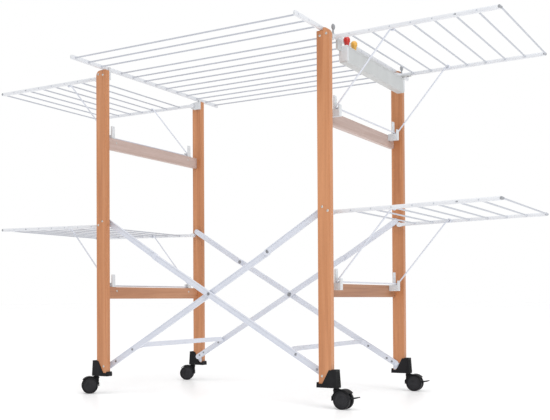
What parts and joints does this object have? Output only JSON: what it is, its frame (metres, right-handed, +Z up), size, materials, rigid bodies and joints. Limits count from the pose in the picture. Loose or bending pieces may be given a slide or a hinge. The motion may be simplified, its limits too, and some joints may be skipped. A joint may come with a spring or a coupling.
{
  "type": "rolling folding clothes airer",
  "caption": "Free-standing timber and wire clothes airer on castors: ladder ends, crossing fold arms, a wire top grid, fold-down wire wings and a peg box.",
  "frame": {"origin": "centre of the opened airer in plan, on the floor the wheels stand on", "axes": "+X along the wings from the left ladder to the right, +Y from the near posts to the far posts, +Z up"},
  "size_m": [1.7174, 0.775, 1.023],
  "materials": {
    "beech": "clear satin varnish",
    "coated_steel": "white powder coat",
    "coated_wire": "white powder coat",
    "white_plastic": "satin moulding",
    "grey_plastic": "satin moulding",
    "black_plastic": "satin moulding",
    "wheel_plastic": "semi-gloss tyre and disc",
    "bright_pin": "zinc plated",
    "red_plastic": "gloss",
    "yellow_plastic": "gloss"
  },
  "bodies": {
    "ladder_left": {"post_left_near": "beech", "post_left_far": "beech", "crossbar_left_upper": "beech", "crossbar_left_lower": "beech", "hook_left_upper_near": "white_plastic", "hook_left_upper_far": "white_plastic", "hook_left_lower_near": "white_plastic", "hook_left_lower_far": "white_plastic", "foot_left_near": "black_plastic", "foot_left_far": "black_plastic", "top_clip_left_near": "white_plastic", "top_clip_left_far": "white_plastic"},
    "ladder_right": {"post_right_near": "beech", "post_right_far": "beech", "crossbar_right_upper": "beech", "crossbar_right_lower": "beech", "hook_right_upper_near": "white_plastic", "hook_right_upper_far": "white_plastic", "hook_right_lower_near": "white_plastic", "hook_right_lower_far": "white_plastic", "foot_right_near": "black_plastic", "foot_right_far": "black_plastic", "top_clip_right_near": "white_plastic", "top_clip_right_far": "white_plastic"},
    "frame_b": {"arm_b_near": "coated_steel", "arm_b_far": "coated_steel", "tie_b": "coated_steel", "centre_pin_near": "bright_pin", "centre_pin_far": "bright_pin"},
    "frame_a": {"arm_a_near": "coated_steel", "arm_a_far": "coated_steel", "tie_a": "coated_steel"},
    "links_left": {"link_left_near": "coated_steel", "link_left_far": "coated_steel"},
    "links_right": {"link_right_near": "coated_steel", "link_right_far": "coated_steel"},
    "top_grid": {"top_grid": "coated_wire"},
    "wing_left_upper": {"wing_left_upper": "coated_wire"},
    "stay_left_upper": {"stay_left_upper": "coated_wire"},
    "wing_left_lower": {"wing_left_lower": "coated_wire"},
    "stay_left_lower": {"stay_left_lower": "coated_wire"},
    "wing_right_upper": {"wing_right_upper": "coated_wire", "peg_box": "grey_plastic", "peg_red": "red_plastic", "peg_yellow": "yellow_plastic"},
    "stay_right_upper": {"stay_right_upper": "coated_wire"},
    "wing_right_lower": {"wing_right_lower": "coated_wire"},
    "stay_right_lower": {"stay_right_lower": "coated_wire"},
    "castor_left_near": {"castor_fork_left_near": "black_plastic"},
    "wheels_left_near": {"castor_wheels_left_near": "wheel_plastic"},
    "castor_left_far": {"castor_fork_left_far": "black_plastic"},
    "wheels_left_far": {"castor_wheels_left_far": "wheel_plastic"},
    "castor_right_near": {"castor_fork_right_near": "black_plastic"},
    "wheels_right_near": {"castor_wheels_right_near": "wheel_plastic"},
    "castor_right_far": {"castor_fork_right_far": "black_plastic"},
    "wheels_right_far": {"castor_wheels_right_far": "wheel_plastic"},
    "brake_right_near": {"brake_lever_right_near": "black_plastic"},
    "brake_right_far": {"brake_lever_right_far": "black_plastic"}
  },
  "joints": [
    {"name": "fold", "type": "hinge", "parent": "ladder_left", "child": "frame_b", "pos_m": [-0.38, 0.0195, 0.0857], "axis": [0, -1, 0], "range_deg": [0, 51.5]},
    {"name": "cross_centre", "type": "hinge", "parent": "frame_b", "child": "frame_a", "pos_m": [0, 0.0195, 0.30692], "axis": [0, -1, 0], "range_deg": [-103.5, 0]},
    {"name": "right_foot_pin", "type": "hinge", "parent": "frame_a", "child": "ladder_right", "pos_m": [0.38, 0.0195, 0.0857], "axis": [0, -1, 0], "range_deg": [0, 52]},
    {"name": "left_link", "type": "hinge", "parent": "ladder_left", "child": "links_left", "pos_m": [-0.3838, 0.0195, 0.5363], "axis": [0, -1, 0], "range_deg": [0, 112.77]},
    {"name": "right_link", "type": "hinge", "parent": "ladder_right", "child": "links_right", "pos_m": [0.3838, 0.0195, 0.5363], "axis": [0, -1, 0], "range_deg": [-112.77, 0]},
    {"name": "grid_lift", "type": "hinge", "parent": "ladder_right", "child": "top_grid", "pos_m": [0.3798, 0.0195, 1.0165], "axis": [0, 1, 0], "range_deg": [0, 90]},
    {"name": "wing_left_upper_fold", "type": "hinge", "parent": "ladder_left", "child": "wing_left_upper", "pos_m": [-0.3991, 0.0195, 0.995], "axis": [0, -1, 0], "range_deg": [0, 82]},
    {"name": "stay_left_upper_swing", "type": "hinge", "parent": "wing_left_upper", "child": "stay_left_upper", "pos_m": [-0.5686, 0.0195, 0.99589], "axis": [0, -1, 0], "range_deg": [-130, 0]},
    {"name": "wing_left_lower_fold", "type": "hinge", "parent": "ladder_left", "child": "wing_left_lower", "pos_m": [-0.3995, 0.0195, 0.524], "axis": [0, -1, 0], "range_deg": [0, 82]},
    {"name": "stay_left_lower_swing", "type": "hinge", "parent": "wing_left_lower", "child": "stay_left_lower", "pos_m": [-0.56897, 0.0195, 0.52696], "axis": [0, -1, 0], "range_deg": [-130, 0]},
    {"name": "wing_right_upper_fold", "type": "hinge", "parent": "ladder_right", "child": "wing_right_upper", "pos_m": [0.3991, 0.0195, 0.995], "axis": [0, 1, 0], "range_deg": [0, 82]},
    {"name": "stay_right_upper_swing", "type": "hinge", "parent": "wing_right_upper", "child": "stay_right_upper", "pos_m": [0.5686, 0.0195, 0.99589], "axis": [0, 1, 0], "range_deg": [-130, 0]},
    {"name": "wing_right_lower_fold", "type": "hinge", "parent": "ladder_right", "child": "wing_right_lower", "pos_m": [0.3995, 0.0195, 0.524], "axis": [0, 1, 0], "range_deg": [0, 82]},
    {"name": "stay_right_lower_swing", "type": "hinge", "parent": "wing_right_lower", "child": "stay_right_lower", "pos_m": [0.56897, 0.0195, 0.52696], "axis": [0, 1, 0], "range_deg": [-130, 0]},
    {"name": "swivel_left_near", "type": "hinge", "parent": "ladder_left", "child": "castor_left_near", "pos_m": [-0.4175, -0.2379, 0.045], "axis": [0, 0, 1], "continuous": true},
    {"name": "roll_left_near", "type": "hinge", "parent": "castor_left_near", "child": "wheels_left_near", "pos_m": [-0.43235, -0.25275, 0.025], "axis": [0.7071, -0.7071, 0], "continuous": true},
    {"name": "swivel_left_far", "type": "hinge", "parent": "ladder_left", "child": "castor_left_far", "pos_m": [-0.4175, 0.2769, 0.045], "axis": [0, 0, 1], "continuous": true},
    {"name": "roll_left_far", "type": "hinge", "parent": "castor_left_far", "child": "wheels_left_far", "pos_m": [-0.4355, 0.26608, 0.025], "axis": [0.515, -0.8572, 0], "continuous": true},
    {"name": "swivel_right_near", "type": "hinge", "parent": "ladder_right", "child": "castor_right_near", "pos_m": [0.4175, -0.2379, 0.045], "axis": [0, 0, 1], "continuous": true},
    {"name": "roll_right_near", "type": "hinge", "parent": "castor_right_near", "child": "wheels_right_near", "pos_m": [0.43845, -0.23936, 0.025], "axis": [0.0698, 0.9976, 0], "continuous": true},
    {"name": "brake_right_near", "type": "hinge", "parent": "castor_right_near", "child": "brake_right_near", "pos_m": [0.45421, -0.24047, 0.0305], "axis": [0.0698, 0.9976, 0], "range_deg": [0, 12]},
    {"name": "swivel_right_far", "type": "hinge", "parent": "ladder_right", "child": "castor_right_far", "pos_m": [0.4175, 0.2769, 0.045], "axis": [0, 0, 1], "continuous": true},
    {"name": "roll_right_far", "type": "hinge", "parent": "castor_right_far", "child": "wheels_right_far", "pos_m": [0.43847, 0.278, 0.025], "axis": [-0.0523, 0.9986, 0], "continuous": true},
    {"name": "brake_right_far", "type": "hinge", "parent": "castor_right_far", "child": "brake_right_far", "pos_m": [0.45425, 0.27883, 0.0305], "axis": [-0.0523, 0.9986, 0], "range_deg": [0, 12]}
  ],
  "couplings": [
    {"joint": "cross_centre", "follows": "fold", "ratio": -2},
    {"joint": "right_foot_pin", "follows": "fold", "ratio": 1},
    {"joint": "left_link", "follows": "fold", "ratio": 2.18},
    {"joint": "right_link", "follows": "fold", "ratio": -2.18},
    {"joint": "stay_left_upper_swing", "follows": "wing_left_upper_fold", "ratio": -1.5793},
    {"joint": "stay_left_lower_swing", "follows": "wing_left_lower_fold", "ratio": -1.5793},
    {"joint": "stay_right_upper_swing", "follows": "wing_right_upper_fold", "ratio": -1.5793},
    {"joint": "stay_right_lower_swing", "follows": "wing_right_lower_fold", "ratio": -1.5793}
  ]
}
